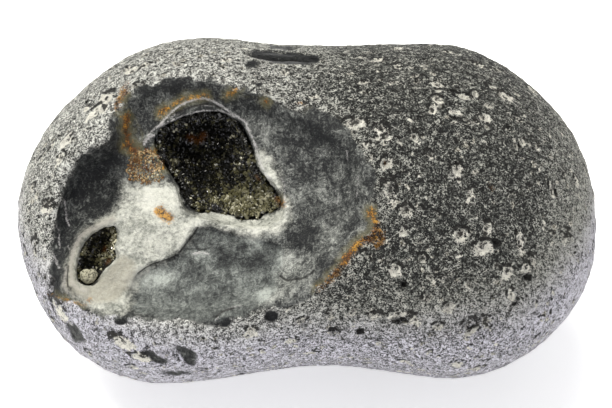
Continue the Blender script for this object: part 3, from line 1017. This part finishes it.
def build_crystals(settings):
    """Lines both vugs with crystals, and strews the rusty druse beside the large one."""
    stone = bpy.data.objects["flint_stone"]
    material = crystal_material(settings)
    random = np.random.default_rng(SEED)
    # Each vug's druse, its node, how many crystals, how thick their crust is and how large they are.
    for name, node, count, thickness, size in (
        ("large_vug_druse", "large_vug_crystals", settings.crystal_count, 0.8, 1.0),
        ("small_vug_druse", "small_vug_crystals", settings.crystal_count // 9, 0.3, 0.8),
    ):
        obj = vug_crust(name, stone, node, thickness)
        crust = obj.data
        length, width = np.array(CRYSTAL_LENGTH) * size, np.array(CRYSTAL_WIDTH) * size
        points, foot, corners = grow_crystals(name, triangles_of(crust), count, length, width, random)
        bm = bmesh.new()
        bm.from_mesh(crust)
        bm.from_mesh(points)
        bm.to_mesh(crust)
        bm.free()
        bpy.data.meshes.remove(points)
        face = to_face(foot)
        lit = sum(
            lift * np.exp(-(((face[:, 0] - x) / half_x) ** 2) - ((face[:, 1] - v) / half_v) ** 2)
            for (x, v), (half_x, half_v), lift in CRYSTAL_CLOUDS
        )
        each = 0.08 + lit + 0.7 * lumps(foot / MM, 2.6, 4) + random.normal(0, 0.25, count)
        each = np.where(random.uniform(size=count) < 0.015, 1.5, each)
        plain = len(crust.vertices) - count * corners
        paint(crust, "shade", np.concatenate([np.full(plain, 0.1), np.repeat(each, corners)]))
        paint(crust, "rust", widest(to_face(points_of(crust))[:, :2], CRYSTAL_RUST, 2.0))
        finish_piece(obj, material, "rock_crystal", node)

    face = to_face(points_of(stone.data))
    ragged = face[:, :2] + 0.7 * lumps(face, 1.2, 2)[:, None]
    patch = on_front(face) & (inside(DRUSE_PATCH, ragged, 3.0) > 0.1)
    ground = triangles_of(stone.data, patch)
    mesh, foot, corners = grow_crystals("rusty_druse", ground, random=random, **RUSTY_DRUSE)
    druse = bpy.data.objects.new("rusty_druse", mesh)
    bpy.context.scene.collection.objects.link(druse)
    each = 0.9 + 0.8 * lumps(foot / MM, 1.6, 3) + random.normal(0, 0.4, len(foot))
    paint(mesh, "shade", np.repeat(each, corners))
    face = to_face(foot)
    rim = 1.9 - 0.7 * inside(DRUSE_PATCH, face[:, :2], 3.0) + 2.0 * lumps(face, 1.8, 3)
    rim += 0.1 * (face[:, 1] - 8.0)
    rim += random.normal(0, 0.7, len(foot))
    paint(mesh, "rust", np.repeat(rim, corners))
    finish_piece(druse, material, "rock_crystal")


def crystal_material(settings):
    """Smoky quartz in small points: glassy, glinting and part clear, under a film of olive clay and iron."""
    material, tree, shader = new_material("smoky_quartz", IOR=1.54, Roughness=0.14, Transmission_Weight=0.2)
    add = partial(add_node, tree)
    shade = add("Attribute", {}, "Fac", attribute_name="shade")
    rust = add("Attribute", {}, "Fac", attribute_name="rust")
    tint = {name: tuple(getattr(settings, name)) for name in PALETTE}
    share = add("MapRange", {0: shade, 1: 0.0, 2: 0.75}, **SOFT)
    colour = add("Mix", {0: share, 6: tint["crystal_dark"], 7: tint["crystal_olive"]}, **COLOUR)
    share = add("MapRange", {0: shade, 1: 0.7, 2: 1.6}, **SOFT)
    colour = add("Mix", {0: share, 6: colour, 7: tint["crystal_pale"]}, **COLOUR)
    stain = add("Mix", {0: share, 6: tint["rust_orange"], 7: tint["rust_ochre"]}, **COLOUR)
    share = add("MapRange", {0: rust, 1: -0.5, 2: 0.8, 4: 0.55}, **SOFT)
    colour = add("Mix", {0: share, 6: colour, 7: stain}, **COLOUR)
    tree.links.new(colour, shader.inputs["Base Color"])
    return material


# --- The wedged chip -----------------------------------------------------------------------------


def build_chip(settings):
    """Rounds and roughens the chip that is caught in the small vug."""
    bm = node_mesh("wedged_chip")
    bmesh.ops.subdivide_edges(bm, edges=bm.edges, cuts=4, use_grid_fill=True)
    bmesh.ops.smooth_vert(bm, verts=bm.verts, factor=0.5, use_axis_x=True, use_axis_y=True, use_axis_z=True)
    obj = new_object("worn_chip", bm)
    points, normals = points_of(obj.data), normals_of(obj.data)
    raised = 0.2 + 0.35 * lumps(points / MM, 1.9) + 0.16 * lumps(points / MM, 0.7, 3)
    move_points(obj.data, points + normals * raised[:, None] * MM)
    obj.data.shade_smooth()
    finish_piece(obj, chip_material(settings), "stone_chip", "wedged_chip")


def chip_material(settings):
    """Weathered limestone: beige and matt, with a fine grain that the sea has pitted."""
    material, tree, shader = new_material("weathered_limestone", Roughness=0.85)
    add = partial(add_node, tree)
    place = add("TexCoord", {}, "Object")
    mm = add("VectorMath", {0: place, "Scale": 1 / MM}, operation="SCALE")
    grain = add("TexNoise", {"Vector": mm, "Scale": 2.6, "Detail": 4.0, "Roughness": 0.75})
    share = add("MapRange", {0: grain, 1: 0.4, 2: 0.54}, **SOFT)
    colours = {6: tuple(settings.limestone_dark), 7: tuple(settings.limestone)}
    colour = add("Mix", {0: share, **colours}, **COLOUR)
    tree.links.new(colour, shader.inputs["Base Color"])
    bump = add("Bump", {"Height": grain, "Strength": 1.0, "Distance": 0.3 * MM})
    tree.links.new(bump, shader.inputs["Normal"])
    return material


# --- The stage -----------------------------------------------------------------------------------

CAMERA_DISTANCE = 2.0
VIEW_WIDTH = 612 * 0.19 * MM  # what the frame's width takes in at the stone
SENSOR_WIDTH = 36.0
VIEW_CENTRE = (-0.1, 1.2, 0.0)  # in the face frame
# Lights: name, azimuth and elevation of where it stands, distance, size, watts and colour.
LIGHTS = (
    ("overhead_softbox", (-140.0, 64.0), 1.0, 0.9, 17.0, "#fffdf6"),
    ("front_fill", (8.0, 4.0), 0.9, 1.2, 4.5, "#f1f0ff"),
    ("glint_lamp", (-60.0, 65.0), 0.8, 0.04, 0.7, "#fffaf0"),
)


def from_face(x, v, w):
    """A point of the face frame in world metres."""
    return Matrix.Rotation(FACE_TURN, 3, "X") @ Vector((x, v, w)) * MM + Vector(FACE_ORIGIN) * MM


def aim(obj, at, target):
    obj.location = at
    obj.rotation_euler = (target - at).to_track_quat("-Z", "Y").to_euler()


def build_stage(settings):
    """The floor, the soft lights, the pale surroundings and the camera."""
    bm = bmesh.new()
    bmesh.ops.create_circle(bm, cap_ends=True, segments=96, radius=settings.floor_radius)
    floor = new_object("studio_floor", bm)
    card = tuple(settings.floor_card)
    glow = {"Emission_Color": card, "Emission_Strength": settings.floor_glow}
    # Opal acrylic, lit from below: white and even, so that the stone throws almost no shadow on it.
    material, _tree, _shader = new_material("opal_acrylic", Base_Color=card, Roughness=0.6, **glow)
    floor.data.materials.append(material)

    scene = bpy.context.scene
    middle = from_face(*VIEW_CENTRE)
    for name, (azimuth, elevation), distance, size, watts, colour in LIGHTS:
        light = bpy.data.lights.new(name, "AREA")
        light.energy, light.size, light.color = watts, size, linear(colour)[:3]
        lamp = bpy.data.objects.new(name, light)
        scene.collection.objects.link(lamp)
        azimuth, elevation = math.radians(azimuth), math.radians(elevation)
        out = Vector((math.sin(azimuth), -math.cos(azimuth), 0.0)) * math.cos(elevation)
        aim(lamp, middle + (out + Vector((0.0, 0.0, math.sin(elevation)))) * distance, middle)

    world = bpy.data.worlds.new("pale_room")
    world.use_nodes = True
    background = world.node_tree.nodes["Background"]
    background.inputs["Color"].default_value = tuple(settings.room_white)
    background.inputs["Strength"].default_value = settings.room_strength
    scene.world = world
    scene.view_settings.view_transform = "Standard"

    camera = bpy.data.cameras.new("camera")
    camera.sensor_width = SENSOR_WIDTH
    camera.lens = SENSOR_WIDTH * CAMERA_DISTANCE / VIEW_WIDTH
    eye = bpy.data.objects.new("camera", camera)
    scene.collection.objects.link(eye)
    aim(eye, from_face(*VIEW_CENTRE[:2], CAMERA_DISTANCE / MM), middle)
    scene.camera = eye


# --- The add-on ----------------------------------------------------------------------------------


# Colours, as sRGB hex values, and what each one is.
PALETTE = {
    "rind_dark": ("#131415", "Charcoal of the rind"),
    "rind_grey": ("#5f615d", "Worn grit of the rind"),
    "rind_pale": ("#bebeb5", "Pale grit of the rind"),
    "rind_white": ("#e4e4dd", "Pale grit over the broken lobe"),
    "rind_lilac": ("#e0dee8", "Chalky bloom low on the stone"),
    "chip_cream": ("#f8f5ea", "Fresh chips in the rind"),
    "chip_shadow": ("#66624f", "Crumbs among the chips"),
    "hole_dark": ("#141210", "Inside of deep pits"),
    "flint_dark": ("#101214", "Clear dark flint"),
    "flint_grey": ("#5e605d", "Cloudy flint"),
    "flint_pale": ("#b3b5ae", "Milky flint"),
    "slab_blue": ("#f6fafb", "Tint of the slab"),
    "chalcedony": ("#cfcfc5", "White coat"),
    "coat_shadow": ("#6a6d66", "Grain of the white coat"),
    "lip_lilac": ("#bcb9b8", "Thin edges of the lips"),
    "coat_cream": ("#999587", "Thick cream coat"),
    "rust_brown": ("#33210f", "Dark iron stain"),
    "rust_orange": ("#86501b", "Iron stain"),
    "rust_ochre": ("#b8872f", "Ochre iron stain"),
    "stain_olive": ("#6d6848", "Faint stain around the iron"),
    "vug_wall": ("#141310", "Stone behind the crystals"),
    "crystal_dark": ("#100f0c", "Smoky crystals"),
    "crystal_olive": ("#6b6749", "Crystals under a film of clay"),
    "crystal_pale": ("#cbc6aa", "Pale crystals"),
    "limestone_dark": ("#4a4738", "Grain of the wedged chip"),
    "limestone": ("#aaa68f", "Wedged chip"),
    "floor_card": ("#f7f7f7", "Floor"),
    "room_white": ("#ffffff", "Surroundings"),
}


class FlintNoduleSettings(bpy.types.PropertyGroup):
    """Sizes and colours of the flint nodule."""

    surface_step: bpy.props.FloatProperty(
        name="Surface step",
        description="Size of the cells that the stone's surface is drawn from",
        default=0.34 * MM,
        min=0.1 * MM,
        unit="LENGTH",
    )
    stone_triangles: bpy.props.IntProperty(
        name="Stone triangles",
        description="How many triangles the stone keeps",
        default=192000,
        min=1000,
    )
    wear: bpy.props.IntProperty(
        name="Sea wear",
        description="How many rounds of smoothing the stone gets",
        default=28,
        min=0,
    )
    crystal_count: bpy.props.IntProperty(
        name="Crystals",
        description="How many crystals line the large vug",
        default=8000,
        min=9,
    )
    floor_radius: bpy.props.FloatProperty(
        name="Floor radius",
        description="Radius of the floor",
        default=1.5,
        min=0.2,
        unit="LENGTH",
    )
    floor_glow: bpy.props.FloatProperty(
        name="Floor glow",
        description="Strength of the light that comes up through the floor",
        default=0.5,
        min=0.0,
    )
    room_strength: bpy.props.FloatProperty(
        name="Room light",
        description="Strength of the light from the room",
        default=0.52,
        min=0.0,
    )
    for name, (colour, what) in PALETTE.items():
        __annotations__[name] = bpy.props.FloatVectorProperty(
            name=name.replace("_", " ").capitalize(),
            description=what,
            default=linear(colour),
            size=4,
            min=0.0,
            max=1.0,
            subtype="COLOR",
        )
    del name, colour, what


class FLINT_OT_stone(bpy.types.Operator):
    """Builds the stone's fine surface"""

    bl_idname = "flint.stone"
    bl_label = "Stone"

    def execute(self, context):
        build_stone(context.scene.flint_nodule)
        return {"FINISHED"}


class FLINT_OT_crystals(bpy.types.Operator):
    """Grows the crystals in both vugs and the rusty druse beside them"""

    bl_idname = "flint.crystals"
    bl_label = "Crystals"

    def execute(self, context):
        build_crystals(context.scene.flint_nodule)
        return {"FINISHED"}


class FLINT_OT_chip(bpy.types.Operator):
    """Builds the chip caught in the small vug"""

    bl_idname = "flint.chip"
    bl_label = "Wedged chip"

    def execute(self, context):
        build_chip(context.scene.flint_nodule)
        return {"FINISHED"}


class FLINT_OT_stage(bpy.types.Operator):
    """Sets the floor, the lights and the camera"""

    bl_idname = "flint.stage"
    bl_label = "Stage"

    def execute(self, context):
        build_stage(context.scene.flint_nodule)
        return {"FINISHED"}


class FLINT_PT_panel(bpy.types.Panel):
    """Lists the pieces of the flint nodule"""

    bl_idname = "FLINT_PT_panel"
    bl_label = "Flint Nodule"
    bl_space_type = "VIEW_3D"
    bl_region_type = "UI"
    bl_category = "Flint"

    def draw(self, context):
        for operator in OPERATORS:
            self.layout.operator(operator.bl_idname)
        for name in FlintNoduleSettings.__annotations__:
            self.layout.prop(context.scene.flint_nodule, name)


OPERATORS = (FLINT_OT_stone, FLINT_OT_crystals, FLINT_OT_chip, FLINT_OT_stage)
CLASSES = (FlintNoduleSettings, *OPERATORS, FLINT_PT_panel)


def register():
    for each in CLASSES:
        bpy.utils.register_class(each)
    bpy.types.Scene.flint_nodule = bpy.props.PointerProperty(type=FlintNoduleSettings)


def unregister():
    del bpy.types.Scene.flint_nodule
    for each in reversed(CLASSES):
        bpy.utils.unregister_class(each)


def main():
    register()
    bpy.ops.flint.stone()
    bpy.ops.flint.crystals()
    bpy.ops.flint.chip()
    bpy.ops.flint.stage()


if __name__ == "__main__":
    main()
